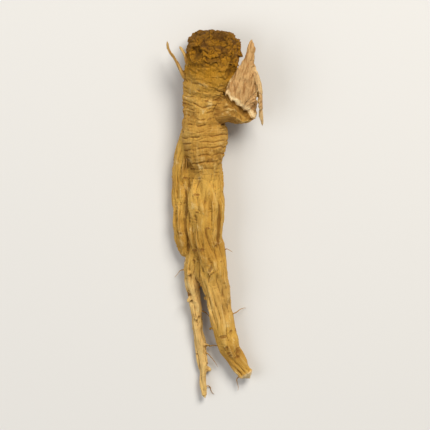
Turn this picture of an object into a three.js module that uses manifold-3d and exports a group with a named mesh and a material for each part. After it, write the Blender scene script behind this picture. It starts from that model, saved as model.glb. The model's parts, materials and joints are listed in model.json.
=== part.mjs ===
// A dried ginseng root, lying on its side. Its crown points along +Y, its legs along -Y, and +Z is up.
// All of it grew as one body: the crown with its stem scars, the ringed neck, the furrowed main root,
// a side root that lies against it, two legs, a torn stub with a splinter, and a few thin rootlets.
// Each of these is a limb: a sphere drawn out along a curve, wrinkled by a formula, and then joined on.
import * as THREE from 'three';
import { ImprovedNoise } from 'three/addons/math/ImprovedNoise.js';
import { mergeVertices } from 'three/addons/utils/BufferGeometryUtils.js';
import ManifoldModule from 'manifold-3d';

// Driving dimensions, in millimetres.
// A station of a limb holds the place of the limb's middle, x, y and z, and its half width there.
const MAIN_ROOT = [
  [-0.05, 36.7, 5.2, 4.3],
  [-0.15, 34.4, 5.1, 5.2],
  [-0.35, 31.2, 5, 5.4],
  [-1.05, 27.6, 4.7, 4.9],
  [-2.05, 23.8, 4.4, 4.3],
  [-2.35, 19.8, 4.2, 4.2],
  [-2.15, 15.8, 4, 4.5],
  [-1.95, 12.2, 4, 4.4],
  [-1.55, 8.2, 3.9, 3.9],
  [-1.55, 2.2, 4, 3.9],
  [-1.55, -4, 3.9, 3.8],
  [-0.75, -9.4, 3.5, 3.3],
  [0.45, -14.7, 3, 2.8],
  [1.25, -20, 2.8, 2.5],
  [2.35, -24.9, 2.4, 2.4],
  [4.15, -28.6, 2, 1.95],
  [6.05, -31.2, 1.7, 1.6],
  [6.95, -32.6, 1.8, 1.45],
];
const SIDE_ROOT = [
  [-3.65, 18.8, 4, 1.8],
  [-5.25, 14.2, 3, 2.4],
  [-6.05, 7.6, 2.6, 2.45],
  [-6.15, 0.6, 2.3, 2.3],
  [-5.85, -5, 2.2, 2.1],
  [-5.65, -9, 2, 1.3],
];
const LEFT_LEG = [
  [-2.85, -4.4, 3.4, 2],
  [-4.05, -8.6, 3, 1.8],
  [-4.55, -12.9, 2.2, 1.55],
  [-4.05, -17.4, 1.6, 1.45],
  [-3.35, -22.6, 1.3, 1.2],
  [-2.55, -27.9, 1.2, 1.15],
  [-2.35, -32.4, 1.2, 0.95],
  [-1.75, -36.8, 1.4, 0.7],
];
const STUB = [
  [-2.65, 19.6, 4.4, 3.2],
  [0.95, 20.4, 4.8, 3],
  [3.95, 21, 5.4, 3.3],
  [6.55, 21.8, 6, 3.3],
  [8.35, 22.4, 6.4, 2.6],
];
const SPLINTER = [
  [4.75, 19.8, 6, 2],
  [5.05, 23.2, 6.8, 3.2],
  [5.85, 26.6, 7.4, 2.7],
  [6.7, 30, 7.9, 1.4],
  [7.1, 32.6, 8.1, 0.85],
  [7.2, 34.8, 8.2, 0.4],
];
const STRAND = [
  [7.45, 29, 7.8, 0.7],
  [8.55, 26, 7.7, 0.7],
  [8.95, 22.6, 7.3, 0.55],
  [9.05, 19.6, 6.6, 0.5],
  [9.45, 17, 5.6, 0.35],
];
const LONG_ROOTLET = [
  [-3.85, 25.4, 5, 0.8],
  [-5.7, 26.7, 5.5, 0.52],
  [-6.9, 29, 6.1, 0.45],
  [-7.7, 30.7, 5.9, 0.4],
  [-8.9, 32.2, 5.3, 0.36],
  [-9.3, 34.4, 5.1, 0.32],
];
const SHORT_ROOTLET = [
  [-3.65, 28.6, 6.2, 0.8],
  [-5.3, 29.7, 6.8, 0.5],
  [-5.8, 31.6, 7.3, 0.4],
  [-6.9, 33.3, 7, 0.33],
];
// Rootlets that have snapped off short, along the main root and both of its legs.
const SNAPPED = { length: 1.3, radius: 0.5, slant: 0.6, sunk: 0.9 };
const SNAPPED_ON_MAIN = { count: 9, from: 0.32, to: 0.93, seed: 11 };
const SNAPPED_ON_LEFT_LEG = { count: 5, from: 0.2, to: 0.85, seed: 29 };

// The skin. Furrows have a depth, a width across them, a length along the limb, and a twist round it.
const MAIN_FURROWS = { depth: 0.62, width: 2.7, length: 13, twist: 0.9 };
const LEG_FURROWS = { depth: 0.36, width: 1.9, length: 10, twist: 0.9 };
const SWELLS = { height: 0.9, length: 6.5 };
const CROWN_LENGTH = 11;
const CROWN_LUMPS = { height: 0.4, size: 1.5 };
const SCARS = { count: 7, first: 0.9, spacing: 1.35, start: 1.3, turn: 2.4, radius: 1.5 };
const SCAR_DEPTH = 0.6;
const SCAR_RIM = 0.45;
const SCAR_BED = { height: 0.45, size: 0.8 };
const RINGS = { first: 11.5, last: 25.5, spacing: 1.95, depth: 0.5, width: 0.5, wander: 1.2 };
const NECK_FURROWS = 0.3;
const RAGGED = { height: 0.9, size: 0.8, reach: 1.6 };
const TEAR = { block: 14, height: 1.1, size: 1.2 };
const SPLINTER_SKIN = { height: 0.4, size: 1.4, fade: 5 };
const SPLINTER_FLATNESS = 0.28;
const LEAST_HALF_THICKNESS = 0.35;
const TORN_FACE = { point: new THREE.Vector3(4.8, 21.6, 6.9), normal: new THREE.Vector3(0.42, 0.2, 0.88) };

const UP = new THREE.Vector3(0, 0, 1);
const noise = new ImprovedNoise();

// Keeps only the points of a geometry, so that faces that meet share them and the body is closed.
function closed(geometry) {
  geometry.deleteAttribute('normal');
  geometry.deleteAttribute('uv');
  return mergeVertices(geometry);
}

// The share of its radius that a limb has near an end, which is rounded over the length of the cap.
function roundedEnd(distance, cap) {
  const short = Math.max(0, 1 - distance / cap);
  return Math.sqrt(1 - short * short);
}

// The smooth outside of a limb: the point at a share of its length, and at an angle round it.
// The angle is 0 on the side that is +X where the limb runs along -Y, and a quarter turn on top.
function limbForm(stations, startCap, endCap, flatness = 1) {
  const curve = new THREE.CatmullRomCurve3(stations.map(([x, y, z]) => new THREE.Vector3(x, y, z)));
  const radii = new THREE.SplineCurve(stations.map(([, , , radius], i) => new THREE.Vector2(i, radius)));
  const length = curve.getLength();
  return (share, around) => {
    const along = share * length;
    const point = curve.getPointAt(share);
    const tangent = curve.getTangentAt(share);
    const side = new THREE.Vector3().crossVectors(UP, tangent).normalize();
    const lift = new THREE.Vector3().crossVectors(tangent, side);
    const radius = radii.getPoint(curve.getUtoTmapping(share)).y;
    const reach = radius * roundedEnd(along, startCap) * roundedEnd(length - along, endCap);
    const rise = Math.max(reach * flatness, Math.min(reach, LEAST_HALF_THICKNESS));
    point.addScaledVector(side, reach * Math.cos(around));
    point.addScaledVector(lift, rise * Math.sin(around));
    return { along, around, radius, toEnd: length - along, point };
  };
}

// A sphere whose rows of points are set along a limb, and pushed in and out along the surface normals.
// Crowding draws the rows together towards the start of the limb.
function limb(form, { sides, rows, crowding = 0, skin }) {
  const geometry = closed(new THREE.SphereGeometry(1, sides, rows));
  const points = geometry.attributes.position;
  const places = [];
  for (let i = 0; i < points.count; i += 1) {
    const onSphere = new THREE.Vector3().fromBufferAttribute(points, i);
    const row = Math.round((Math.acos(THREE.MathUtils.clamp(onSphere.y, -1, 1)) / Math.PI) * rows) / rows;
    const place = form(row * (1 - crowding + crowding * row), Math.atan2(onSphere.z, onSphere.x));
    points.setXYZ(i, place.point.x, place.point.y, place.point.z);
    places.push(place);
  }
  geometry.computeVertexNormals();
  const normals = geometry.attributes.normal;
  places.forEach((place, i) => {
    const normal = new THREE.Vector3().fromBufferAttribute(normals, i);
    const point = place.point.clone().addScaledVector(normal, skin(place));
    points.setXYZ(i, point.x, point.y, point.z);
  });
  geometry.deleteAttribute('normal');
  return geometry;
}

// Drying pulls the skin into furrows along the limb: sharp valleys, with round ridges between them.
function furrows({ along, around, radius }, { depth, width, length, twist }) {
  const turned = around + twist * noise.noise(along / length, radius, 4.5);
  const value = noise.noise(
    (radius * Math.cos(turned)) / width,
    (radius * Math.sin(turned)) / width,
    along / length,
  );
  return -depth * (1 - THREE.MathUtils.smoothstep(Math.abs(value), 0, 0.3));
}

function lumps({ point }, { height, size }) {
  return height * noise.noise(point.x / size, point.y / size, point.z / size);
}

// No stretch of a root is quite round or quite straight: it swells a little to one side and then another.
function swells({ along, around, radius }) {
  const share = radius / MAIN_ROOT[0][3];
  return SWELLS.height * share * noise.noise(Math.cos(around), Math.sin(around), along / SWELLS.length);
}

// Rings run round the neck and shoulder. Each fades out and comes back on its way round.
function rings({ along, around }) {
  let depth = 0;
  for (let at = RINGS.first; at < RINGS.last; at += RINGS.spacing) {
    const turnX = Math.cos(around) + at;
    const turnY = Math.sin(around);
    const wander = RINGS.wander * noise.noise(turnX, turnY, at);
    const across = (along - at - wander) / RINGS.width;
    const strength = THREE.MathUtils.clamp(0.6 + 1.4 * noise.noise(turnX * 1.4, turnY * 1.4, -at), 0, 1);
    depth += RINGS.depth * strength * Math.exp(-across * across);
  }
  return -depth;
}

// Each year's stem leaves a round bowl with a raised rim. The scars wind down the crown in a spiral.
function stemScars(form, limbLength) {
  return Array.from({ length: SCARS.count }, (_, i) => {
    const share = (SCARS.first + SCARS.spacing * i) / limbLength;
    const around = SCARS.start + SCARS.turn * i;
    const rim = form(share, around).point;
    const outward = rim.clone().sub(form(share, around + Math.PI).point).normalize();
    return { rim, outward };
  });
}

function scarRims({ point }, scars) {
  let rise = 0;
  for (const { rim } of scars) {
    const across = point.distanceTo(rim) / SCARS.radius - 1;
    rise += SCAR_RIM * Math.exp(-8 * across * across);
  }
  return rise;
}

// Pushes the points of a closed surface in and out, to make it as uneven as grown or torn flesh.
function roughen(geometry, unevenness) {
  geometry.computeVertexNormals();
  const { position, normal } = geometry.attributes;
  for (let i = 0; i < position.count; i += 1) {
    const point = new THREE.Vector3().fromBufferAttribute(position, i);
    const outward = new THREE.Vector3().fromBufferAttribute(normal, i);
    const moved = point.clone().addScaledVector(outward, lumps({ point }, unevenness));
    position.setXYZ(i, moved.x, moved.y, moved.z);
  }
  geometry.deleteAttribute('normal');
  return geometry;
}

// The ball that hollows out the bowl of a scar, as wide and as deep as the scar where it meets the skin.
function scarBall({ rim, outward }) {
  const ballRadius = (SCARS.radius ** 2 + SCAR_DEPTH ** 2) / (2 * SCAR_DEPTH);
  const ball = closed(new THREE.SphereGeometry(ballRadius, 13, 11));
  const centre = rim.clone().addScaledVector(outward, ballRadius - SCAR_DEPTH);
  ball.translate(...centre);
  return roughen(ball, SCAR_BED);
}

const mainForm = limbForm(MAIN_ROOT, 3.6, 0.7);
const mainLength = mainForm(1, 0).along;
const scars = stemScars(mainForm, mainLength);

function mainSkin(place) {
  const crown = 1 - THREE.MathUtils.smoothstep(place.along, CROWN_LENGTH * 0.7, CROWN_LENGTH * 1.3);
  const thickness = place.radius / MAIN_ROOT[0][3];
  const ringed = 1 - THREE.MathUtils.smoothstep(place.along, RINGS.last - 6, RINGS.last + 1);
  const furrowed = thickness * THREE.MathUtils.lerp(1, NECK_FURROWS, ringed);
  const bark = swells(place) + furrowed * furrows(place, MAIN_FURROWS);
  const knob = lumps(place, CROWN_LUMPS) + scarRims(place, scars);
  return crown * knob + rings(place) + (1 - crown) * bark + ragged(place);
}

// The end of a broken limb is ragged.
function ragged({ point, toEnd }) {
  return lumps({ point }, RAGGED) * (1 - THREE.MathUtils.smoothstep(toEnd, 0, RAGGED.reach));
}

const legSkin = (place) => swells(place) + furrows(place, LEG_FURROWS) + ragged(place);
const splinterSkin = (place) => lumps(place, SPLINTER_SKIN) * Math.min(1, place.toEnd / SPLINTER_SKIN.fade);
const smoothSkin = () => 0;

// Each rootlet starts inside its limb and leans towards the limb's tip.
function snappedRootlets(form, { count, from, to, seed }) {
  THREE.MathUtils.seededRandom(seed);
  return Array.from({ length: count }, (_, i) => {
    const share = THREE.MathUtils.lerp(from, to, (i + THREE.MathUtils.seededRandom()) / count);
    const around = 2 * Math.PI * THREE.MathUtils.seededRandom();
    const onSkin = form(share, around).point;
    const outward = onSkin.clone().sub(form(share, around + Math.PI).point).normalize();
    outward.y -= SNAPPED.slant;
    const base = onSkin.clone().addScaledVector(outward, -SNAPPED.sunk);
    const reach = SNAPPED.length * (0.5 + 0.5 * THREE.MathUtils.seededRandom());
    const tip = onSkin.clone().addScaledVector(outward, reach);
    return limbForm([[...base, SNAPPED.radius * 1.3], [...tip, SNAPPED.radius]], 0.4, 0.2);
  });
}

const wasm = await ManifoldModule();
wasm.setup();

function toSolid(geometry) {
  const vertProperties = new Float32Array(geometry.attributes.position.array);
  const triVerts = new Uint32Array(geometry.index.array);
  return new wasm.Manifold(new wasm.Mesh({ numProp: 3, vertProperties, triVerts }));
}

function toGeometry(solid) {
  const { vertProperties, triVerts } = solid.getMesh();
  const geometry = new THREE.BufferGeometry();
  geometry.setAttribute('position', new THREE.BufferAttribute(vertProperties, 3));
  geometry.setIndex(new THREE.BufferAttribute(triVerts, 1));
  return geometry;
}

// A rough block, set on the slant: what it takes off the stub leaves the torn face.
function tearBlock() {
  const block = closed(new THREE.BoxGeometry(TEAR.block, TEAR.block, TEAR.block, 14, 14, 2));
  block.translate(0, 0, TEAR.block / 2);
  roughen(block, TEAR);
  block.applyQuaternion(new THREE.Quaternion().setFromUnitVectors(UP, TORN_FACE.normal.clone().normalize()));
  block.translate(...TORN_FACE.point);
  return block;
}

const leftLegForm = limbForm(LEFT_LEG, 1.5, 0.5);
const splinterForm = limbForm(SPLINTER, 1.2, 0.6, SPLINTER_FLATNESS);
const mainRoot = toSolid(limb(mainForm, { sides: 37, rows: 86, crowding: 0.3, skin: mainSkin }));
const scarredRoot = scars.map(scarBall).reduce((rest, ball) => rest.subtract(toSolid(ball)), mainRoot);
const stub = toSolid(limb(limbForm(STUB, 1.5, 1.8), { sides: 16, rows: 14, skin: legSkin }));
const thinLimbs = [
  limbForm(STRAND, 0.6, 0.5),
  limbForm(LONG_ROOTLET, 0.8, 0.5),
  limbForm(SHORT_ROOTLET, 0.8, 0.5),
];
const snapped = [
  ...snappedRootlets(mainForm, SNAPPED_ON_MAIN),
  ...snappedRootlets(leftLegForm, SNAPPED_ON_LEFT_LEG),
];
const limbs = [
  limb(limbForm(SIDE_ROOT, 1.5, 1.6), { sides: 18, rows: 30, skin: legSkin }),
  limb(leftLegForm, { sides: 14, rows: 38, skin: legSkin }),
  limb(splinterForm, { sides: 16, rows: 16, skin: splinterSkin }),
  ...thinLimbs.map((form) => limb(form, { sides: 6, rows: 12, skin: smoothSkin })),
  ...snapped.map((form) => limb(form, { sides: 5, rows: 4, skin: smoothSkin })),
].map(toSolid);

const floor = new THREE.BoxGeometry(200, 200, 20);
floor.translate(0, 0, -10);
const tornStub = stub.subtract(toSolid(tearBlock()));
const root = [tornStub, ...limbs]
  .reduce((all, next) => all.add(next), scarredRoot)
  .subtract(toSolid(closed(floor)));

// The origin is under the middle of the root.
const geometry = toGeometry(root);
geometry.computeBoundingBox();
const middle = geometry.boundingBox.getCenter(new THREE.Vector3());
geometry.translate(-middle.x, -middle.y, -geometry.boundingBox.min.z);

const skin = new THREE.MeshStandardMaterial({ color: 0xc89a44, roughness: 0.75, metalness: 0 });
const rootMesh = new THREE.Mesh(geometry, skin);
rootMesh.name = 'ginseng_root';

const ginseng = new THREE.Group();
ginseng.add(rootMesh);

export default ginseng;
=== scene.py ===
import json
import math

import bpy
import numpy as np
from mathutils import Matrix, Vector, noise

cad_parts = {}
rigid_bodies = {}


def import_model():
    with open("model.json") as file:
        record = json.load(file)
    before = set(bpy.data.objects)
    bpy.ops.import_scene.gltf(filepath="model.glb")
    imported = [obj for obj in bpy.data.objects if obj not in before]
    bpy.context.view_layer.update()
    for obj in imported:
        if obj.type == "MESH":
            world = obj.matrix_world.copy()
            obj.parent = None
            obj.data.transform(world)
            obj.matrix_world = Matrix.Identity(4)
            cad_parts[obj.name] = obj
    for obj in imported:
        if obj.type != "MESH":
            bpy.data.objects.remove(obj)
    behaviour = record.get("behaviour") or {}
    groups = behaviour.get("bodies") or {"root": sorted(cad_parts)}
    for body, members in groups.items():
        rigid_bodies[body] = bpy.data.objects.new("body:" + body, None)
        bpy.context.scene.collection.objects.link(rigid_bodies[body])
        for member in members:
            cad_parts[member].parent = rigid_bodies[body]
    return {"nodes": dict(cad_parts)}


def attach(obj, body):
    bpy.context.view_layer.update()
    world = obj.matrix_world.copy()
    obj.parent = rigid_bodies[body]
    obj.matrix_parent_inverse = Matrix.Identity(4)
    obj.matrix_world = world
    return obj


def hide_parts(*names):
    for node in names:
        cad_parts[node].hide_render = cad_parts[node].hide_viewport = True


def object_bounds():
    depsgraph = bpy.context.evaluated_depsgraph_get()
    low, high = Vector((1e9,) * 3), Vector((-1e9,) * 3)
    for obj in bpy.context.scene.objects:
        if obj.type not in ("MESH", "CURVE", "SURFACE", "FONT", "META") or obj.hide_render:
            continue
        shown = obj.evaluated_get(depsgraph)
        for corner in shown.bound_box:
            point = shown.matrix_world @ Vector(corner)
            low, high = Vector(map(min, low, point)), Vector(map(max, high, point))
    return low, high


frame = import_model()
cad_box = [list(corner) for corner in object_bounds()]

# The body of the root, which grew as one piece. A dense skin is drawn over the solid part, so that
# every limb, ring and stem scar stays in its place, and its flat facets are smoothed away.
SKIN_GRID = 0.15
FACET_SMOOTHING = [0.5, -0.52] * 14
bpy.ops.object.select_all(action="DESELECT")
root = bpy.data.objects.new("root_body", frame["nodes"]["ginseng_root"].data.copy())
bpy.context.collection.objects.link(root)
bpy.context.view_layer.objects.active = root
root.select_set(True)
bpy.ops.object.mode_set(mode="EDIT")
bpy.ops.mesh.select_all(action="SELECT")
bpy.ops.mesh.remove_doubles(threshold=1e-7)
bpy.ops.object.mode_set(mode="OBJECT")
skin_grid = root.modifiers.new("skin_grid", "REMESH")
skin_grid.mode = "VOXEL"
skin_grid.voxel_size = SKIN_GRID / 1000
bpy.ops.object.modifier_apply(modifier=skin_grid.name)
mesh = root.data

# Only the outer skin stays. A pocket that the limbs close off between them is filled.
bpy.ops.object.mode_set(mode="EDIT")
bpy.ops.mesh.select_all(action="DESELECT")
bpy.ops.object.mode_set(mode="OBJECT")
max(mesh.vertices, key=lambda corner: corner.co.z).select = True
bpy.ops.object.mode_set(mode="EDIT")
bpy.ops.mesh.select_linked()
bpy.ops.mesh.select_all(action="INVERT")
bpy.ops.mesh.delete(type="VERT")
bpy.ops.object.mode_set(mode="OBJECT")
count = len(mesh.vertices)
edge_ends = np.empty(2 * len(mesh.edges), int)
mesh.edges.foreach_get("vertices", edge_ends)
first, second = edge_ends.reshape(-1, 2).T
neighbours = np.bincount(edge_ends, minlength=count)[:, None]


def read_points():
    """The body's points, in millimetres."""
    flat = np.empty(3 * count)
    mesh.vertices.foreach_get("co", flat)
    return flat.reshape(-1, 3) * 1000


def write_points(moved):
    """Puts the body's points where they were moved to, and never below the surface it lies on."""
    moved[:, 2] = np.maximum(moved[:, 2], 0)
    mesh.vertices.foreach_set("co", (moved / 1000).ravel())
    mesh.update()


def read_normals():
    """The way the skin faces at each of the body's points."""
    flat = np.empty(3 * count, np.float32)
    mesh.vertex_normals.foreach_get("vector", flat)
    return flat.reshape(-1, 3).astype(float)


def blur(values, gives):
    """Moves each value towards the middle of its neighbours' by each share in turn."""
    values = values.reshape(count, -1).copy()
    for give in gives:
        middle = np.stack([
            np.bincount(first, column[second], count) + np.bincount(second, column[first], count)
            for column in values.T], axis=1) / neighbours
        values += give * (middle - values)
    return values


def soften(values, times):
    """Values with soft edges: each point takes half its value from its neighbours, so many times."""
    return blur(values, [0.5] * times)[:, 0]


points = blur(read_points(), FACET_SMOOTHING)
write_points(points)

# The limbs that the body dried into: a crown and main root, a side root, a left leg, a torn stub
# with its splinter and strand, and two rootlets. Each follows one line, and wrinkles along it.
# A station is x, y, z and half width in millimetres, as in the solid part.
LIMBS = {
    "main_root": [
        (-0.05, 36.7, 5.2, 4.3), (-0.15, 34.4, 5.1, 5.2), (-0.35, 31.2, 5.0, 5.4), (-1.05, 27.6, 4.7, 4.9),
        (-2.05, 23.8, 4.4, 4.3), (-2.35, 19.8, 4.2, 4.2), (-2.15, 15.8, 4.0, 4.5), (-1.95, 12.2, 4.0, 4.4),
        (-1.55, 8.2, 3.9, 3.9), (-1.55, 2.2, 4.0, 3.9), (-1.55, -4.0, 3.9, 3.8), (-0.75, -9.4, 3.5, 3.3),
        (0.45, -14.7, 3.0, 2.8), (1.25, -20.0, 2.8, 2.5), (2.35, -24.9, 2.4, 2.4), (4.15, -28.6, 2.0, 1.95),
        (6.05, -31.2, 1.7, 1.6), (6.95, -32.6, 1.8, 1.45),
    ],
    "side_root": [
        (-3.65, 18.8, 4.0, 1.8), (-5.25, 14.2, 3.0, 2.4), (-6.05, 7.6, 2.6, 2.45), (-6.15, 0.6, 2.3, 2.3),
        (-5.85, -5.0, 2.2, 2.1), (-5.65, -9.0, 2.0, 1.3),
    ],
    "left_leg": [
        (-2.85, -4.4, 3.4, 2.0), (-4.05, -8.6, 3.0, 1.8), (-4.55, -12.9, 2.2, 1.55),
        (-4.05, -17.4, 1.6, 1.45), (-3.35, -22.6, 1.3, 1.2), (-2.55, -27.9, 1.2, 1.15),
        (-2.35, -32.4, 1.2, 0.95), (-1.75, -36.8, 1.4, 0.7),
    ],
    "stub": [
        (-2.65, 19.6, 4.4, 3.2), (0.95, 20.4, 4.8, 3.0), (3.95, 21.0, 5.4, 3.3), (6.55, 21.8, 6.0, 3.3),
        (8.35, 22.4, 6.4, 2.6),
    ],
    "splinter": [
        (4.75, 19.8, 6.0, 2.0), (5.05, 23.2, 6.8, 3.2), (5.85, 26.6, 7.4, 2.7), (6.7, 30.0, 7.9, 1.4),
        (7.1, 32.6, 8.1, 0.85), (7.2, 34.8, 8.2, 0.4),
    ],
    "strand": [
        (7.45, 29.0, 7.8, 0.7), (8.55, 26.0, 7.7, 0.7), (8.95, 22.6, 7.3, 0.55), (9.05, 19.6, 6.6, 0.5),
        (9.45, 17.0, 5.6, 0.35),
    ],
    "long_rootlet": [
        (-3.85, 25.4, 5.0, 0.8), (-5.7, 26.7, 5.5, 0.52), (-6.9, 29.0, 6.1, 0.45), (-7.7, 30.7, 5.9, 0.4),
        (-8.9, 32.2, 5.3, 0.36), (-9.3, 34.4, 5.1, 0.32),
    ],
    "short_rootlet": [
        (-3.65, 28.6, 6.2, 0.8), (-5.3, 29.7, 6.8, 0.5), (-5.8, 31.6, 7.3, 0.4), (-6.9, 33.3, 7.0, 0.33),
    ],
}
ROWS_PER_STATION = 24
POINT_BATCHES = 12
SEAM_SOFTENING = 6


def trace_limb(stations):
    """The smooth line through a limb's stations: its points, half widths and length so far."""
    rows = np.array(stations)
    ends = np.vstack([2 * rows[0] - rows[1], rows, 2 * rows[-1] - rows[-2]])
    line = []
    for before, start, end, after in zip(ends, ends[1:], ends[2:], ends[3:]):
        t = np.linspace(0, 1, ROWS_PER_STATION, endpoint=False)[:, None]
        line.append(0.5 * (
            2 * start + (end - before) * t + (2 * before - 5 * start + 4 * end - after) * t**2
            + (3 * start - before - 3 * end + after) * t**3))
    line = np.vstack([*line, rows[-1:]])
    steps = np.linalg.norm(np.diff(line[:, :3], axis=0), axis=1)
    return line[:, :3], line[:, 3], np.concatenate([[0], np.cumsum(steps)])


def directions(line):
    """Along a limb's line, and across it and up from it, at each of its points."""
    ahead = np.gradient(line, axis=0)
    ahead /= np.linalg.norm(ahead, axis=1)[:, None]
    side = np.cross((0, 0, 1), ahead)
    side /= np.linalg.norm(side, axis=1)[:, None]
    return ahead, side, np.cross(ahead, side)


def follow_limb(stations):
    """Where the body's points lie on a limb: across, up, along, and how far out in half widths.

    The points are taken in batches, because the table of all their distances would be too large.
    """
    line, half, length = trace_limb(stations)
    ahead, side, lift = directions(line)
    near = np.concatenate([
        np.argmin((line**2).sum(1) - 2 * batch @ line.T, axis=1)
        for batch in np.array_split(points, POINT_BATCHES)])
    away = points - line[near]
    across = (away * side[near]).sum(1)
    up = (away * lift[near]).sum(1)
    along = length[near] + (away * ahead[near]).sum(1)
    return across, up, along, np.linalg.norm(away, axis=1) / half[near]


tracks = {name: follow_limb(stations) for name, stations in LIMBS.items()}
nearest = np.argmin([reach for *_, reach in tracks.values()], axis=0)
belongs = {name: soften((nearest == i).astype(float), SEAM_SOFTENING) for i, name in enumerate(LIMBS)}
lengths = {name: trace_limb(stations)[2][-1] for name, stations in LIMBS.items()}
wiry = belongs["strand"] + belongs["long_rootlet"] + belongs["short_rootlet"]
main_along = tracks["main_root"][2]

# The wrinkles: the flesh shrinks as it dries, and the skin folds into it along each limb, in coarse
# folds and finer ones between them. A fold is its width, its length and its depth in millimetres.
FOLDS = {
    "main_root": ((1.9, 13, 0.36), (0.95, 9, 0.28), (0.6, 7, 0.19)),
    "side_root": ((1.7, 12, 0.30), (0.85, 8, 0.22), (0.55, 6, 0.16)),
    "left_leg": ((1.4, 10, 0.24), (0.75, 7, 0.18), (0.5, 5, 0.13)),
    "stub": ((1.3, 5, 0.32), (0.8, 4, 0.24), (0.55, 3, 0.16)),
    "splinter": ((1.3, 5, 0.28), (0.8, 4, 0.20), (0.55, 3, 0.14)),
}
WIRY_FOLDS = {
    "strand": ((0.7, 6, 0.20), (0.4, 3, 0.10)),
    "long_rootlet": ((0.6, 5, 0.18), (0.4, 3, 0.09)),
    "short_rootlet": ((0.6, 5, 0.18), (0.4, 3, 0.09)),
}
FOLD_SEEDS = dict(zip(LIMBS, (3.1, 11.7, 23.9, 31.3, 37.7, 41.5, 47.2, 53.8)))
FOLD_TWIST, TWIST_LENGTH = 0.5, 7
FOLD_FLANK = 0.42
FOLD_ROUNDING = [0.5, 0.4]
FAINTEST_FOLD = 0.35
DEEP_WIDTH, DEEP_LENGTH, DEEP_EDGE = 2.4, 7, (-0.25, 0.3)
CROSS_CREASES = {"main_root": 2.2, "side_root": 8.4, "left_leg": 14.1}
CREASE_LENGTH, CREASE_SPACING, CREASE_WANDER, CREASE_FLANK = 3.1, 0.75, 0.4, 0.16
CREASED_WIDTH, CREASED_LENGTH, CREASED_EDGE = 1.8, 2.6, (0.05, 0.35)
CROSS_CREASE_DEPTH = 0.07
SHOULDER_SPAN = (17, 22, 27, 31)
SHOULDER_SMOOTHING, SHOULDER_ROUNDS = 0.85, 60
UNFOLDED_NECK, UNFOLDED_NECK_END = 0.75, (23, 30)
LUMPS = ((0.24, 2.6), (0.05, (0.8, 1.1, 0.8)))


def step(values, low, high):
    """0 below low, 1 above high, and a smooth rise between. An edge is such a low and high."""
    t = np.clip((values - low) / (high - low), 0, 1)
    return t * t * (3 - 2 * t)


def stretch(values, start, full, fade, end):
    """0 before start, 1 from full to fade, and 0 after end."""
    return step(values, start, full) * (1 - step(values, fade, end))


def ripple(x, y, z):
    """Smooth noise at each place, turned so that its grid never lines up with a limb."""
    turned = zip(0.36 * x + 0.48 * y - 0.8 * z, 0.6 * y - 0.8 * x, 0.48 * x + 0.64 * y + 0.6 * z)
    return np.fromiter((noise.noise(place) for place in turned), float, len(x))


def add_waves(values, places, waves):
    """Values with waves of noise added to them. A wave is its height and its size in millimetres."""
    for height, size in waves:
        values = values + height * ripple(*(places / size).T)
    return values


def shrink_skin(name, folds):
    """How far the skin of a limb sinks, in millimetres."""
    across, up, along, _ = tracks[name]
    seed = FOLD_SEEDS[name]
    turn = FOLD_TWIST * ripple(along / TWIST_LENGTH, across * 0 + seed, up * 0)
    a = across * np.cos(turn) - up * np.sin(turn)
    b = across * np.sin(turn) + up * np.cos(turn)
    sunk = 0.0
    for width, length, depth in folds:
        slope = np.abs(ripple(a / width + seed, b / width - seed, along / length + seed)) / FOLD_FLANK
        furrow = np.maximum(1 - slope, 0) ** 2
        deep = step(ripple(a / DEEP_WIDTH - seed, b / DEEP_WIDTH, along / DEEP_LENGTH + width), *DEEP_EDGE)
        sunk = sunk + (FAINTEST_FOLD + (1 - FAINTEST_FOLD) * deep) * depth * furrow
    return belongs[name] * sunk


def cross_limb(name, seed):
    """Short creases across a limb, in patches: 1 in a crease, and 0 beside it."""
    across, up, along, _ = tracks[name]
    wander = CREASE_WANDER * ripple(across, up, along)
    line = ripple(across / CREASE_LENGTH + seed, up / CREASE_LENGTH, along / CREASE_SPACING + wander)
    creased = ripple(across / CREASED_WIDTH, up / CREASED_WIDTH + seed, along / CREASED_LENGTH)
    return belongs[name] * step(creased, *CREASED_EDGE) * (1 - step(np.abs(line), 0, CREASE_FLANK))


shoulder = belongs["main_root"] * stretch(main_along, *SHOULDER_SPAN)
points += SHOULDER_SMOOTHING * shoulder[:, None] * (blur(points, [0.5] * SHOULDER_ROUNDS) - points)
write_points(points)
x, y, z = points.T
wrinkles = sum(shrink_skin(name, folds) for name, folds in FOLDS.items())
wrinkles *= 1 - UNFOLDED_NECK * belongs["main_root"] * (1 - step(main_along, *UNFOLDED_NECK_END))
wrinkles = blur(wrinkles, FOLD_ROUNDING)[:, 0]
wiry_wrinkles = sum(shrink_skin(name, folds) for name, folds in WIRY_FOLDS.items())
creases = sum(cross_limb(name, seed) for name, seed in CROSS_CREASES.items())
lumps = add_waves(0, points, LUMPS)

# The rings: a root draws its crown down into the soil each year, and the skin of its neck and
# shoulder folds into close rings. Each is broken and wanders, and its lips stand up on both sides.
RING_SPAN, RING_SPACING, RING_SEED = (10.5, 30), 1.25, 5.5
FINE_RING_SPAN, FINE_RING_SPACING, FINE_RING_SEED = (9, 32), 0.66, 17.3
FINE_RING_SHARE = 0.45
RING_FADE, LAST_RINGS_FADE = 1, 4
RING_WANDER, WANDER_WIDTH, WANDER_LENGTH = 0.55, 2.4, 6
RING_NARROWNESS = 3.4
BREAK_WIDTH, BREAK_EDGE, RINGS_APART = 2.2, (-0.3, 0.25), 1.7
RING_DEPTH = 0.30
RING_LIP, RING_LIP_ROUNDS = 0.14, 10


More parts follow.
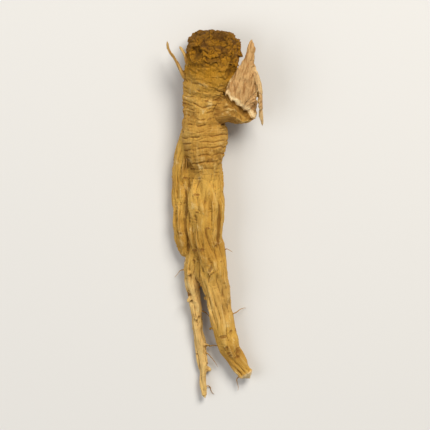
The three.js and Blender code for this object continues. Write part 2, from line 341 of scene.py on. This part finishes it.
def ring_skin(span, spacing, seed):
    """1 in a ring's groove, and 0 beside it, on a span of the main root's length."""
    across, up, along, _ = tracks["main_root"]
    start, end = span
    zone = stretch(along, start - RING_FADE, start + RING_FADE, end - LAST_RINGS_FADE, end + RING_FADE)
    wander = RING_WANDER * ripple(across / WANDER_WIDTH + seed, up / WANDER_WIDTH, along / WANDER_LENGTH)
    phase = (along + wander) / spacing
    ring = np.round(phase)
    groove = np.maximum(1 - RING_NARROWNESS * np.abs(phase - ring), 0) ** 1.5
    unbroken = step(ripple(across / BREAK_WIDTH, up / BREAK_WIDTH + seed, ring * RINGS_APART), *BREAK_EDGE)
    return belongs["main_root"] * zone * groove * unbroken


rings = ring_skin(RING_SPAN, RING_SPACING, RING_SEED)
rings = np.maximum(rings, FINE_RING_SHARE * ring_skin(FINE_RING_SPAN, FINE_RING_SPACING, FINE_RING_SEED))
ring_relief = RING_LIP * soften(rings, RING_LIP_ROUNDS) - RING_DEPTH * rings

# The scars where hair roots dropped off: short raised lips that lie across the limb, each with a
# small pit in it. The ones on the right leg that show in the photograph are listed one by one.
SCARRED = (("main_root", 14, 72, 46), ("side_root", 3, 27, 12), ("left_leg", 4, 33, 16))
LEG_SCARS = ((1.6, -23.9, 1.5), (4.7, -26.9, 1.4), (2.2, -26.2, 0.9))
SCAR_WIDTHS = (0.6, 1.25)
SCAR_ACROSS, SCAR_ALONG = 0.75, 0.30
SCAR_EDGE = (0.6, 1.25)
SCAR_LIP = 0.14
SCAR_PIT, SCAR_PIT_EDGE = 0.16, (0.85, 1.0)
HEIGHT_WEIGHT = 0.2
scar_dice = np.random.default_rng(5)
scars = np.zeros(count)


def add_scar(name, at, angle, size):
    """One scar on a limb, at a length along it, an angle round it, and a width in millimetres."""
    across, up, along, reach = tracks[name]
    half = np.hypot(across, up) / np.maximum(reach, 0.01)
    round_it = half * ((np.arctan2(up, across) - angle + math.pi) % (2 * math.pi) - math.pi)
    away = np.hypot(round_it / (SCAR_ACROSS * size), (along - at) / (SCAR_ALONG * size))
    np.maximum(scars, belongs[name] * (1 - step(away, *SCAR_EDGE)), out=scars)


for name, start, end, number in SCARRED:
    places = scar_dice.uniform(start, end, number), scar_dice.uniform(-math.pi, math.pi, number)
    for at, angle, size in zip(*places, scar_dice.uniform(*SCAR_WIDTHS, number)):
        add_scar(name, at, angle, size)


def top_point(at_x, at_y):
    """The number of the body's highest point near a place seen from above."""
    return np.argmin(np.hypot(x - at_x, y - at_y) - HEIGHT_WEIGHT * z)


for at_x, at_y, size in LEG_SCARS:
    here = top_point(at_x, at_y)
    across, up, along, _ = tracks["main_root"]
    add_scar("main_root", along[here], math.atan2(up[here], across[here]), size)
scar_relief = SCAR_LIP * scars - SCAR_PIT * step(scars, *SCAR_PIT_EDGE)

# Dull brown patches: stains, as on the two scars low on the right leg, and painted shade, most of it
# under the shoulder, beside the stub and where the legs part. Each is x, y, reach in millimetres, strength.
STAIN_AND_SHADE_PLACES = (
    (0.6, 11.6, 2.6, 0.8), (-1.8, 12.0, 1.5, 0.5), (-4.0, 19.4, 1.7, 0.6), (0.9, 20.2, 1.5, 0.7),
    (-4.9, 9.8, 1.4, 0.6), (-3.6, -6.7, 1.6, 0.7), (-1.9, -10.2, 1.2, 0.5), (1.6, -23.9, 1.4, 0.5),
    (4.7, -26.9, 1.2, 0.5), (-3.9, -15.2, 0.8, 0.4), (-3.2, -21.3, 0.8, 0.4),
)
PATCH_WAVES = ((0.8, 1.1), (0.6, 0.45))
PATCH_LIMIT = 1.6
PATCH_DEPTH = 0.10
stains_and_shade = np.zeros(count)
for at_x, at_y, reach, strength in STAIN_AND_SHADE_PLACES:
    away = np.linalg.norm(points - points[top_point(at_x, at_y)], axis=1)
    near_it = away < PATCH_LIMIT * reach
    away = away[near_it]
    ragged = add_waves(0, points[near_it], PATCH_WAVES)
    stains_and_shade[near_it] = np.maximum(stains_and_shade[near_it], strength * (1 - step(away / reach + ragged, 0.0, 1.0)))

# The crown: the short thick stem that stood under the soil. It is olive brown and grainy at the
# top, in flaking terraces, and it passes through mustard into the golden skin of the neck.
# A grain is its size, its seed and its depth.
CROWN_SPAN, CROWN_SOFTENING = (3, 17), 20
CROWN_WAVES = ((2.4, 2.2),)
CROWN_GRAINS = ((1.2, 4, 0.20), (0.65, 9, 0.13))
GRAIN_SLOPE = 3
TERRACE_LENGTH, TERRACE_HEIGHT = 1.25, 0.34
TERRACE_WAVES = ((0.9, 1.8),)
FLAKE_WIDTH, FLAKE_EDGE, FLAKE_SEED, TERRACES_APART = 2.4, (-0.3, 0.15), 3, 1.3
crown = (1 - step(add_waves(main_along, points, CROWN_WAVES), *CROWN_SPAN)) * (nearest == 0)
crown = soften(crown, CROWN_SOFTENING)
on_crown = crown > 0.02


def pebbles(x, y, z):
    """How deep each place is in the gap between two rounded grains: 1 in the gap, and 0 on a grain."""
    gaps = (noise.voronoi(place)[0] for place in zip(x, y, z))
    return np.fromiter((1 - min(1, GRAIN_SLOPE * (far - near)) for near, far, *_ in gaps), float, len(x))


grain = np.zeros(count)
for size, seed, depth in CROWN_GRAINS:
    grain[on_crown] += depth * pebbles(*(points[on_crown].T / size + seed))
terrace = add_waves(main_along, points, TERRACE_WAVES) / TERRACE_LENGTH
flaked = ripple(x / FLAKE_WIDTH + FLAKE_SEED, y / FLAKE_WIDTH, np.floor(terrace) * TERRACES_APART)
husk = TERRACE_HEIGHT * (step(flaked, *FLAKE_EDGE) * (terrace - np.floor(terrace)) - 0.5)

# The stem scars: each year's stem left a round bowl when it withered. They wind down the crown, and
# are hollow in the solid part. The bed of each is smoother and darker, and its worn rim stands up.
STEM_SCARS = {"count": 7, "first": 0.9, "spacing": 1.35, "start": 1.3, "turn": 2.4, "radius": 1.5}
CROWN_CAP = 3.6
BOWL_REACH = 2
STEM_WAVES = ((0.30, 1.3), (0.15, 0.5))
BOWL_EDGE, BOWL_SMOOTHNESS = (0.55, 1.0), 0.55
STEM_RIM, RIM_PLACE, RIM_FLANK = 0.11, 1.1, (0.05, 0.4)
RIM_WEAR, WORN_SIZE, WORN_EDGE, WORN_SEED = 0.8, 1.6, (-0.2, 0.3), 5
main_line, main_half, main_length = trace_limb(LIMBS["main_root"])
_, main_side, main_lift = directions(main_line)
bowls = np.zeros(count)
rims = np.zeros(count)
for i in range(STEM_SCARS["count"]):
    at = STEM_SCARS["first"] + STEM_SCARS["spacing"] * i
    angle = STEM_SCARS["start"] + STEM_SCARS["turn"] * i
    row = np.argmin(np.abs(main_length - at))
    rounded = math.sqrt(1 - max(0, 1 - at / CROWN_CAP) ** 2)
    outward = math.cos(angle) * main_side[row] + math.sin(angle) * main_lift[row]
    middle = main_line[row] + main_half[row] * rounded * outward
    away = np.linalg.norm(points - middle, axis=1) / STEM_SCARS["radius"]
    near_it = away < BOWL_REACH
    out = add_waves(away[near_it], points[near_it], STEM_WAVES)
    worn = 1 - RIM_WEAR * step(ripple(*(points[near_it].T / WORN_SIZE + WORN_SEED)), *WORN_EDGE)
    bowls[near_it] = np.maximum(bowls[near_it], 1 - step(out, *BOWL_EDGE))
    rims[near_it] = np.maximum(rims[near_it], worn * (1 - step(np.abs(out - RIM_PLACE), *RIM_FLANK)))
rims *= 1 - bowls
grain *= 1 - BOWL_SMOOTHNESS * bowls
husk *= 1 - bowls

# The torn flesh: the stub broke off with a pale splinter, a strand hangs beside it, and the ends of
# the legs snapped. The flesh is drawn out into fibres, with crumbs between them.
TORN_FACE = {"point": np.array((4.8, 21.6, 6.9)), "normal": np.array((0.42, 0.2, 0.88))}
TORN_FACING, TORN_HEIGHT, TORN_FROM = (0.35, 0.7), (-1.6, -0.5), (1.6, 2.6)
TORN_WAVES = ((0.9, 0.9),)
SPLINTER_FACING = (-0.35, 0.15)
STRAND_FLESH = 0.85
TORN_TIPS = (("main_root", 2.4), ("left_leg", 0.9), ("side_root", 0.9))
TIP_END = 0.2
FIBRE_WIDTH, FIBRE_LENGTH, FIBRE_DEPTH, FIBRE_FLANK, FIBRE_SEED = 0.42, 5, 0.18, 0.4, 7
CRUMB_WIDTH, CRUMB_LENGTH, CRUMB_DEPTH = 0.9, 2.2, 0.12
CRUMBLY_WIDTH, CRUMBLY_EDGE, CRUMBLY_SEED = 1.6, (-0.1, 0.3), 3
FLESH_SWELL = 0.07
skin_facing = read_normals()
torn_outward = TORN_FACE["normal"] / np.linalg.norm(TORN_FACE["normal"])
facing = skin_facing @ torn_outward
height = (points - TORN_FACE["point"]) @ torn_outward
edge = add_waves(x, points, TORN_WAVES)
flesh = belongs["splinter"] * step(skin_facing[:, 2], *SPLINTER_FACING)
flesh += belongs["stub"] * step(facing, *TORN_FACING) * step(height, *TORN_HEIGHT) * step(edge, *TORN_FROM)

# The lip of the tear: a ridge that runs down from the left corner of the splinter, where the flesh
# was lifted out of the stub, palest beside it, where a highlight is painted. Brown skin begins below
# it, behind a crease painted dark with shade.
LIP_START = np.array((1.4, 24.2))
LIP_END = np.array((7.3, 19.5))
LIP_WAVES = ((0.5, 1.3), (0.25, 0.5))
UPPER_SIDE = (0.0, 0.3)
LIP_EDGE = (-0.15, 0.15)
LIP_HEIGHT, LIP_MIDDLE, LIP_FLANK = 0.16, 0.45, (0.1, 0.8)
LIP_CREASE_DEPTH, LIP_CREASE_MIDDLE, LIP_CREASE_FLANK = 0.25, -0.45, (0.1, 0.6)
LIP_CREASE_FROM = (1.2, 2.6)
# How strongly the painted highlight beside the lip is laid on, and the two spots where it is brightest.
HIGHLIGHT_SPAN, HIGHLIGHT_BASE, HIGHLIGHT_EXTRA = (-0.1, 0.3, 0.4, 2.6), 0.68, 0.32
HIGHLIGHT_SPOTS = ((2.9, 1.8), (6.8, 1.4))
lip_line = (LIP_END - LIP_START) / np.linalg.norm(LIP_END - LIP_START)
along_lip = (points[:, :2] - LIP_START) @ lip_line
past_lip = (points[:, :2] - LIP_START) @ (-lip_line[1], lip_line[0])
past_lip = add_waves(past_lip, points, LIP_WAVES)
upper_side = step(skin_facing[:, 2], *UPPER_SIDE) * (belongs["stub"] + belongs["splinter"])
flesh *= 1 - upper_side * (1 - step(past_lip, *LIP_EDGE))
torn_lip = upper_side * flesh * (1 - step(np.abs(past_lip - LIP_MIDDLE), *LIP_FLANK))
brightest_spots = sum(1 - step(np.abs(along_lip - at), 0.2, reach) for at, reach in HIGHLIGHT_SPOTS)
highlight_strength = HIGHLIGHT_BASE + HIGHLIGHT_EXTRA * brightest_spots
lip_highlight = upper_side * flesh * stretch(past_lip, *HIGHLIGHT_SPAN) * highlight_strength
from_crease = np.abs(past_lip - LIP_CREASE_MIDDLE)
lip_crease = upper_side * (1 - step(from_crease, *LIP_CREASE_FLANK)) * step(x, *LIP_CREASE_FROM)
flesh += STRAND_FLESH * belongs["strand"]
tips = sum(
    belongs[name] * step(tracks[name][2], lengths[name] - reach, lengths[name] - TIP_END)
    for name, reach in TORN_TIPS)
flesh = np.clip(flesh + tips, 0, 1)
fibre_gap = np.abs(ripple(x / FIBRE_WIDTH, y / FIBRE_LENGTH, z / FIBRE_WIDTH + FIBRE_SEED)) / FIBRE_FLANK
fibres = soften(np.maximum(1 - fibre_gap, 0) ** 1.5, 1)
crumbly = ripple(x / CRUMBLY_WIDTH, y / CRUMB_LENGTH, z / CRUMBLY_WIDTH + CRUMBLY_SEED)
crumbs = pebbles(x / CRUMB_WIDTH, y / CRUMB_LENGTH, z / CRUMB_WIDTH) * step(crumbly, *CRUMBLY_EDGE)

# The whole skin is moved in and out at once, by what each of these makes of it. Thin limbs give less.
WIRY_SHARE = 0.25
CROWN_SMOOTHNESS = 0.65
skin = 1 - flesh
relief = skin * (lumps + ring_relief + scar_relief - PATCH_DEPTH * stains_and_shade)
relief -= skin * (wrinkles * (1 - CROWN_SMOOTHNESS * crown) + CROSS_CREASE_DEPTH * creases * (1 - crown))
relief += skin * crown * (husk - grain + STEM_RIM * rims)
relief += LIP_HEIGHT * torn_lip - LIP_CREASE_DEPTH * lip_crease
relief += flesh * (FLESH_SWELL - FIBRE_DEPTH * fibres - CRUMB_DEPTH * crumbs)
relief = relief * (1 - (1 - WIRY_SHARE) * wiry) - wiry_wrinkles
points = points + read_normals() * relief[:, None]
write_points(points)

# Where a narrow fold has closed on itself, its walls are drawn apart again.
SHARPEST_TURN, IRONING_SHARE, IRONING_ROUNDS = 0.25, 0.7, 6
for _ in range(IRONING_ROUNDS):
    normals = read_normals()
    pinched = (normals[first] * normals[second]).sum(1) < SHARPEST_TURN
    pinched = np.unique(np.concatenate([first[pinched], second[pinched]]))
    points[pinched] = blur(points, [IRONING_SHARE])[pinched]
    write_points(points)

# What the colours follow: how deep each point lies in a fold, where it is on its limb, and how pale
# its skin is, browner below 0 and paler above, with painted light and painted highlights added in.
PALE_ALONG = ((0, 0), (12, -0.4), (27, -0.42), (32, 0), (46, 0.05), (52, 0.28), (58, 0.28), (64, -0.3))
LEG_PAINTED_LIGHT, LEG_PAINTED_LIGHT_SPAN = 0.6, (2, 12)
PALE_SIDE_TIP = 0.1
LIP_PAINTED_HIGHLIGHT, PAINTED_HIGHLIGHT_BESIDE_LIP = 0.4, 0.95
BROWN = (("strand", 0.9), ("long_rootlet", 0.9), ("short_rootlet", 0.9), ("stub", 0.6), ("splinter", 0.5))
WIDE_FOLD_ROUNDS, NARROW_FOLD_ROUNDS = 60, 6
CERTAIN_SHARE = (0.6, 0.97)
PATTERN_SHIFT = 17
MOST_TRIANGLES = 196000
normals = read_normals()
fold = ((blur(points, [0.5] * WIDE_FOLD_ROUNDS) - points) * normals).sum(1)
crease = ((blur(points, [0.5] * NARROW_FOLD_ROUNDS) - points) * normals).sum(1)
dried = belongs["main_root"] * np.interp(main_along, *zip(*PALE_ALONG))
# painted light: the left leg, which lies in shade, is painted paler from near its top
dried += LEG_PAINTED_LIGHT * belongs["left_leg"] * step(tracks["left_leg"][2], *LEG_PAINTED_LIGHT_SPAN)
dried += tips * (1 - (1 - PALE_SIDE_TIP) * belongs["side_root"])
# painted highlight: the lip of the tear and the flesh beside it are painted paler
dried += LIP_PAINTED_HIGHLIGHT * torn_lip + PAINTED_HIGHLIGHT_BESIDE_LIP * lip_highlight
dried -= sum(share * belongs[name] for name, share in BROWN)
# The crease below the lip of the tear is painted dark with the stains, as painted shade.
stains_and_shade = np.maximum(stains_and_shade, lip_crease)
certain = step(np.max(list(belongs.values()), axis=0), *CERTAIN_SHARE)
straight = np.zeros((count, 3))
for i, name in enumerate(LIMBS):
    across, up, along, _ = tracks[name]
    straight[nearest == i] = np.stack([across, up, along + PATTERN_SHIFT * i], axis=1)[nearest == i]


def keep_on_mesh(target, name, values):
    """Stores a value, or a vector, at each point of a mesh, for its material to read."""
    kind = "FLOAT_VECTOR" if values.ndim == 2 else "FLOAT"
    attribute = target.attributes.new(name, kind, "POINT")
    attribute.data.foreach_set("vector" if values.ndim == 2 else "value", values.astype(np.float32).ravel())


for name, values in {
    "straight": straight, "fold": fold, "crease": crease, "crown": crown, "flesh": flesh, "bowls": bowls,
    "rims": rims, "rings": rings, "scars": scars, "stains_and_shade": stains_and_shade, "dried": dried, "certain": certain,
}.items():
    keep_on_mesh(mesh, name, values)
thinned = root.modifiers.new("thinned", "DECIMATE")
thinned.ratio = MOST_TRIANGLES / (2 * len(mesh.polygons))
bpy.ops.object.modifier_apply(modifier=thinned.name)
for corner in mesh.vertices:
    corner.co.z = max(corner.co.z, 0)
bpy.ops.object.shade_smooth()

# The skin's finish: dry and matt, golden tan on the ridges, with painted shade down in the folds and
# painted shade and some dirt in the creases and rings, olive brown on the crown, and cream where the
# flesh is torn open, with a painted highlight along the lip of the tear.
skin_finish = bpy.data.materials.new("dried_root_skin")
skin_finish.use_nodes = True
tree = skin_finish.node_tree
shader = tree.nodes["Principled BSDF"]
shader.inputs["Subsurface Weight"].default_value = 0.06
shader.inputs["Subsurface Radius"].default_value = (0.0008, 0.0004, 0.0002)
shader.inputs["Specular IOR Level"].default_value = 0.2


def add(kind, inputs=(), **settings):
    """A node of the skin's material, with its settings, and values or links for its inputs."""
    node = tree.nodes.new(kind)
    for name, value in settings.items():
        setattr(node, name, value)
    for socket, value in dict(inputs).items():
        if isinstance(value, bpy.types.NodeSocket):
            tree.links.new(value, node.inputs[socket])
        else:
            node.inputs[socket].default_value = value
    return node


def srgb(red, green, blue):
    """A colour as it was read, from 0 to 255, in the shader's own units."""
    parts = [value / 255 for value in (red, green, blue)]
    return (*(v / 12.92 if v <= 0.04045 else ((v + 0.055) / 1.055) ** 2.4 for v in parts), 1)


def mask(value, low, high, share=1.0):
    """0 where the value is below low, and share where it is above high, or the other way round."""
    limits = {"Value": value, "From Min": low, "From Max": high, "To Min": 0.0, "To Max": share}
    return add("ShaderNodeMapRange", limits, interpolation_type="SMOOTHSTEP").outputs[0]


def coat(below, above, share):
    """One colour laid over another by a mask."""
    return add("ShaderNodeMix", {0: share, 6: below, 7: above}, data_type="RGBA").outputs[2]


def lay_on(base, coats):
    """A base with its coats laid over it in turn. A coat is its colour, what it follows, and its mask."""
    for colour, follows, low, high, share in coats.values():
        base = coat(base, srgb(*colour), mask(follows, low, high, share))
    return base


def mottle(vector, scale, detail=3.0, stretched=(1, 1, 1)):
    """Cloudy patches, so many to a metre of the piece or a millimetre of a limb, or drawn out along it."""
    turned = {"Vector": vector, "Scale": stretched, "Rotation": (0.6, 0.4, 0.9)}
    moved = add("ShaderNodeMapping", turned).outputs[0]
    cloud = {"Vector": moved, "Scale": scale, "Detail": detail, "Roughness": 0.6}
    return add("ShaderNodeTexNoise", cloud).outputs[0]


STREAK, FINE_STREAK, FLESH_STREAK, RIDGE_STREAK = (1, 1, 0.14), (1, 1, 0.22), (1, 1, 0.18), (1, 1, 0.12)
RIDGE_ROUGHNESS, FOLD_ROUGHNESS = 0.6, 0.85
GRIT_SHARE, BUMP_DEPTH = 0.35, 0.00045
place = add("ShaderNodeTexCoord").outputs["Object"]
upright = add("ShaderNodeSeparateXYZ", {"Vector": place}).outputs["Y"]
on_limb = add("ShaderNodeAttribute", attribute_name="straight").outputs["Vector"]
read = {
    name: add("ShaderNodeAttribute", attribute_name=name).outputs["Fac"]
    for name in ("fold", "crease", "crown", "flesh", "rings", "scars", "stains_and_shade", "dried", "certain",
                 "bowls", "rims")}

# The tan skin, which turns mustard below the crown: lighter on its ridges, with painted shade in its
# folds, painted shade and some dirt in its creases and rings, and painted light on the left leg.
tan = coat(srgb(208, 162, 72), srgb(186, 138, 52), mask(mottle(place, 170), 0.35, 0.68))
tan = lay_on(tan, {
    "brown clouds": ((164, 116, 40), mottle(place, 75, 2), 0.52, 0.72, 0.35),
    # paler skin, with painted light on the left leg and painted highlight by the lip of the tear
    "dried paler": ((236, 202, 136), read["dried"], 0.0, 1.0, 0.85),
    "dried browner": ((142, 98, 46), read["dried"], 0.0, -1.0, 0.75),
    "pale streaks": ((228, 192, 112), mottle(on_limb, 0.8, 3, STREAK), 0.55, 0.8, 0.6),
    "brown streaks": ((156, 106, 36), mottle(on_limb, 1.6, 3, STREAK), 0.55, 0.78, 0.5),
    "fine streaks": ((164, 114, 42), mottle(on_limb, 3.2, 4, FINE_STREAK), 0.48, 0.70, 0.5),
    "pale flecks": ((232, 204, 140), mottle(place, 420, 5), 0.58, 0.70, 0.5),
    # painted shade: darker down in the broad folds
    "painted shade in the folds": ((130, 86, 24), read["fold"], 0.03, 0.34, 0.4),
    # painted shade with some dirt: darker down in the narrow creases
    "painted shade and dirt in the creases": ((112, 72, 22), read["crease"], 0.008, 0.05, 0.62),
    # painted shade with some dirt: darker down in the ring grooves
    "painted shade and dirt in the rings": ((120, 76, 22), read["rings"], 0.3, 1.0, 0.42),
    "scars": ((138, 88, 32), read["scars"], 0.3, 0.9, 0.6),
    # stains, and painted shade under the shoulder, beside the stub, where the legs part and below the lip
    "stains_and_shade": ((122, 82, 24), read["stains_and_shade"], 0.05, 0.8, 0.6),
    # lighter on the ridges, where the skin bulges out between the broad folds
    "lighter on the ridges": ((230, 198, 128), read["fold"], -0.06, -0.25, 0.4),
    "mustard": ((168, 118, 14), read["crown"], 0.10, 0.65, 0.75),
})

# The husk of the crown, olive and brown, with painted shade and some dirt between its grains, and darkest
# at its top.
husky = coat(srgb(160, 108, 6), srgb(92, 56, 2), mask(mottle(place, 600, 5), 0.42, 0.66))
husky = lay_on(husky, {
    # painted shade with some dirt: darker down in the gaps between the grains
    "painted shade and dirt between grains": ((58, 34, 4), read["crease"], 0.005, 0.05, 0.7),
    "dark top": ((62, 38, 6), upright, 0.0305, 0.0375, 0.6),
    "beds of the bowls": ((78, 48, 8), read["bowls"], 0.2, 1.0, 0.45),
    "worn rims": ((168, 118, 22), read["rims"], 0.3, 1.0, 0.25),
})

# The torn flesh, pinkish tan with painted shade in its hollows, cream on its ragged edges and tips,
# and a painted highlight along the lip of the tear.
torn = coat(
    srgb(202, 160, 104), srgb(166, 120, 68), mask(mottle(on_limb, 2.2, 4, FLESH_STREAK), 0.42, 0.66))
torn = lay_on(torn, {
    # painted shade: darker down in the hollows of the torn flesh
    "painted shade in the hollows": ((124, 82, 38), read["crease"], 0.015, 0.08, 0.6),
    "pale border": ((240, 208, 150), read["flesh"], 0.99, 0.75, 0.7),
    # cream on the snapped tips, and painted highlight along the lip of the tear
    "cream": ((248, 224, 172), read["dried"], 0.1, 0.9, 0.85),
})
crowned = coat(tan, husky, mask(read["crown"], 0.45, 1.0, 0.95))
opened = coat(crowned, torn, mask(read["flesh"], 0.25, 0.7))
specked = coat(opened, srgb(92, 58, 20), mask(mottle(place, 2600, 2), 0.66, 0.74, 0.35))
tree.links.new(specked, shader.inputs["Base Color"])

# The skin is duller in the folds, and under all of it runs a fine relief of streaks and grit.
dull = add("ShaderNodeMapRange", {
    "Value": read["fold"], "From Min": -0.2, "From Max": 0.2,
    "To Min": RIDGE_ROUGHNESS, "To Max": FOLD_ROUGHNESS}).outputs[0]
tree.links.new(dull, shader.inputs["Roughness"])
striped = {0: mottle(on_limb, 2.6, 6, RIDGE_STREAK), 1: read["certain"]}
striped = add("ShaderNodeMath", striped, operation="MULTIPLY").outputs[0]
gritty = {0: mottle(place, 2400, 4), 1: GRIT_SHARE, 2: striped}
gritty = add("ShaderNodeMath", gritty, operation="MULTIPLY_ADD").outputs[0]
bump = add("ShaderNodeBump", {"Height": gritty, "Strength": 1.0, "Distance": BUMP_DEPTH}).outputs[0]
tree.links.new(bump, shader.inputs["Normal"])
mesh.materials.clear()
mesh.materials.append(skin_finish)
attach(root, "root")
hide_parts("ginseng_root")

# The hair roots: a few brown threads that stayed on when the root was dug and washed. Each grows
# out of the skin and bends towards the tip of its limb, and tapers away.
HAIRY = (("main_root", 44, 69, 5), ("left_leg", 6, 31, 4), ("side_root", 8, 24, 1))
HAIR_LENGTHS = (2.0, 5.5)
HAIR_ROWS, FEWEST_ROWS = 12, 4
HAIR_RADIUS, HAIR_TAPER = 0.10, (1.2, 0.3)
HAIR_ROOTED = 0.4
TO_TIP, OUTWARD, DROOP = 0.9, 0.5, (0, 0, 0.35)
HAIR_BEND = 0.34
PLACE_STRAY, SIDE_STRAY, LEAN_STRAY, ROW_STRAY = 1, 0.6, 0.5, 0.4
HAIR_BROWN = -0.7
hair_dice = np.random.default_rng(21)
threads = []


def hair_root(name, at, angle, length):
    """A hair root on a limb, at a length along it, an angle round it, and its own length."""
    across, up, along, _ = tracks[name]
    astray = np.abs((np.arctan2(up, across) - angle + math.pi) % (2 * math.pi) - math.pi)
    start = np.argmin(np.abs(along - at) + 2 * astray + 99 * (nearest != list(LIMBS).index(name)))
    line, _, limb_length = trace_limb(LIMBS[name])
    tipward = np.array([
        np.interp(at + 1, limb_length, column) - np.interp(at - 1, limb_length, column)
        for column in line.T])
    tipward /= np.linalg.norm(tipward)
    heading = normals[start]
    leaning = TO_TIP * tipward + OUTWARD * heading + hair_dice.uniform(-LEAN_STRAY, LEAN_STRAY, 3) - DROOP
    path = [points[start] - HAIR_ROOTED * normals[start]]
    for _ in range(HAIR_ROWS):
        path.append(path[-1] + heading * length / HAIR_ROWS)
        heading = heading + HAIR_BEND * leaning + hair_dice.uniform(-ROW_STRAY, ROW_STRAY, 3)
        heading /= np.linalg.norm(heading)
    path = np.array(path)
    path[:, 2] = np.maximum(path[:, 2], HAIR_RADIUS)
    outside = (np.abs(path[:, 0]) > 1000 * cad_box[1][0]) | (np.abs(path[:, 1]) > 1000 * cad_box[1][1])
    path = path[:max(FEWEST_ROWS, np.argmax(outside))] if outside.any() else path
    bpy.ops.curve.primitive_bezier_curve_add()
    thread = bpy.context.object
    thread.data.splines.clear()
    spline = thread.data.splines.new("POLY")
    spline.points.add(len(path) - 1)
    spline.points.foreach_set("co", np.column_stack([path / 1000, np.ones(len(path))]).ravel())
    spline.points.foreach_set("radius", np.linspace(*HAIR_TAPER, len(path)))
    thread.data.bevel_depth = HAIR_RADIUS / 1000
    thread.data.bevel_resolution = 1
    thread.data.use_fill_caps = True
    bpy.ops.object.convert(target="MESH")
    threads.append(bpy.context.object)


for name, start, end, number in HAIRY:
    for at in np.linspace(start, end, number):
        angle = hair_dice.choice((0.0, math.pi)) + hair_dice.uniform(-SIDE_STRAY, SIDE_STRAY)
        strayed = at + hair_dice.uniform(-PLACE_STRAY, PLACE_STRAY)
        hair_root(name, strayed, angle, hair_dice.uniform(*HAIR_LENGTHS))
bpy.ops.object.select_all(action="DESELECT")
for thread in threads:
    thread.select_set(True)
bpy.context.view_layer.objects.active = threads[0]
bpy.ops.object.join()
hair_roots = bpy.context.object
hair_roots.name = "hair_roots"
bpy.ops.object.shade_smooth()
hair_points = np.array([corner.co for corner in hair_roots.data.vertices]) * 1000
keep_on_mesh(hair_roots.data, "straight", hair_points[:, [0, 2, 1]])
keep_on_mesh(hair_roots.data, "dried", np.full(len(hair_points), HAIR_BROWN))
hair_roots.data.materials.clear()
hair_roots.data.materials.append(skin_finish)
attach(hair_roots, "root")

# The studio: a plain pale floor that the root lies on, a soft main light from the upper right
# as in the photograph, a wide fill, and a far camera that looks almost straight down on it.
bpy.ops.mesh.primitive_plane_add(size=4, location=(0, 0, 0))
floor = bpy.context.object
floor.name = "pale_floor"
paper = bpy.data.materials.new("pale_floor")
paper.use_nodes = True
paper.node_tree.nodes["Principled BSDF"].inputs["Base Color"].default_value = (0.66, 0.65, 0.63, 1)
paper.node_tree.nodes["Principled BSDF"].inputs["Roughness"].default_value = 0.9
floor.data.materials.append(paper)


def soft_light(name, location, size, watts, colour):
    """A round soft light that points at the root."""
    light = bpy.data.lights.new(name, "AREA")
    light.shape = "DISK"
    light.size = size
    light.energy = watts
    light.color = colour
    lamp = bpy.data.objects.new(name, light)
    bpy.context.collection.objects.link(lamp)
    lamp.location = location
    lamp.rotation_euler = (-Vector(location)).to_track_quat("-Z", "Y").to_euler()


soft_light("main_light", (0.24, 0.40, 0.50), size=0.36, watts=4.9, colour=(1.0, 0.96, 0.89))
soft_light("fill_light", (-0.5, 0.0, 0.5), size=0.5, watts=1.9, colour=(0.95, 0.97, 1.0))
room = bpy.data.worlds.new("room")
room.use_nodes = True
room.node_tree.nodes["Background"].inputs["Color"].default_value = (1.0, 0.98, 0.95, 1)
room.node_tree.nodes["Background"].inputs["Strength"].default_value = 0.32
bpy.context.scene.world = room
bpy.context.scene.view_settings.view_transform = "Standard"

TILT = math.radians(5)
CAMERA_DISTANCE = 1.1
MID_HEIGHT = 0.004
camera = bpy.data.objects.new("camera", bpy.data.cameras.new("camera"))
bpy.context.collection.objects.link(camera)
camera.location = Vector((0, 0, MID_HEIGHT)) + CAMERA_DISTANCE * Vector((0, math.sin(TILT), math.cos(TILT)))
camera.rotation_euler = (-TILT, 0, 0)
camera.data.sensor_width = 36
camera.data.lens = 470
camera.data.clip_end = 10
bpy.context.scene.camera = camera
